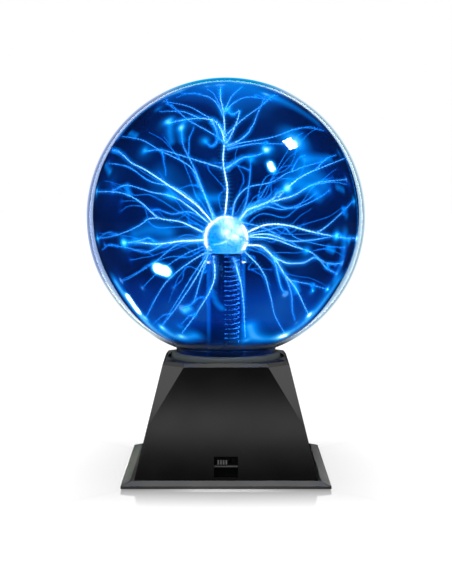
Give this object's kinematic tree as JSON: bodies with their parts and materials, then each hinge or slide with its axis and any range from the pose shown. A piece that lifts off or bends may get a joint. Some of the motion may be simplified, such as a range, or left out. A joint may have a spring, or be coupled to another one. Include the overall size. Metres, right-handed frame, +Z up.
{
  "type": "plasma ball",
  "caption": "Hollow glass globe on a flared black base; a stem holds the bulb electrode whose filaments reach the glass. Slide switch in front, power inlet behind.",
  "frame": {"origin": "on the surface it stands on, straight below the middle of the globe", "axes": "+Z up through the globe, front with the slide switch towards -Y, +X to the right seen from the front"},
  "size_m": [0.2032, 0.2032, 0.2876],
  "materials": {
    "globe_glass": "polished",
    "stem_glass": "polished",
    "electrode": "satin",
    "plasma_light": "matte",
    "steel_wool": "matte",
    "spring_steel": "polished",
    "brass_contact": "satin",
    "white_silicone": "matte",
    "red_lead": "satin",
    "collar_plastic": "satin",
    "black_gasket": "matte",
    "dark_plastic": "matte",
    "zinc_screws": "satin",
    "black_housing": "satin",
    "black_plate": "satin",
    "black_rubber": "matte",
    "switch_plastic": "satin",
    "blank_legend": "gloss",
    "knob_plastic": "satin",
    "tinned_steel": "satin",
    "phenolic": "matte",
    "gold_plating": "polished",
    "circuit_board": "satin",
    "grey_wire": "satin",
    "red_wire": "satin",
    "ferrite": "matte",
    "bobbin_plastic": "satin",
    "winding_tape": "satin",
    "copper_wire": "satin",
    "anodised_aluminium": "satin",
    "epoxy_black": "matte",
    "capacitor_sleeve": "satin",
    "film_red": "gloss",
    "resistor_coat": "satin",
    "header_nylon": "satin"
  },
  "bodies": {
    "stand": {"globe_glass": "globe_glass", "stem_tube": "stem_glass", "electrode_coating": "electrode", "electrode_wool": "steel_wool", "hv_spring": "spring_steel", "hv_contact": "brass_contact", "stem_plug": "white_silicone", "hv_lead": "red_lead", "collar_ring": "collar_plastic", "neck_gasket": "black_gasket", "globe_socket": "dark_plastic", "socket_screws": "zinc_screws", "housing": "black_housing", "base_plate": "black_plate", "base_screws": "zinc_screws", "rubber_feet": "black_rubber", "switch_bezel": "switch_plastic", "legend_plate": "blank_legend", "switch_can": "tinned_steel", "switch_wafer": "phenolic", "switch_terminals": "gold_plating", "switch_board": "circuit_board", "switch_board_screws": "zinc_screws", "switch_wires": "grey_wire", "inlet_body": "switch_plastic", "inlet_pin": "tinned_steel", "inlet_nut": "tinned_steel", "inlet_lugs": "gold_plating", "inlet_wires": "red_wire", "circuit_board": "circuit_board", "board_screws": "zinc_screws", "transformer_core": "ferrite", "transformer_bobbin": "bobbin_plastic", "secondary_winding": "winding_tape", "primary_winding": "copper_wire", "heat_sink": "anodised_aluminium", "power_transistor": "epoxy_black", "transistor_screw": "zinc_screws", "electrolytic_capacitors": "capacitor_sleeve", "film_capacitor": "film_red", "driver_chip": "epoxy_black", "resistors": "resistor_coat", "microphone": "anodised_aluminium", "wire_headers": "header_nylon"},
    "slider": {"switch_knob": "knob_plastic", "switch_contact": "gold_plating"}
  },
  "joints": [
    {"name": "switch_slide", "type": "slide", "parent": "stand", "child": "slider", "axis": [1, 0, 0], "range_m": [0, 0.0052]}
  ]
}
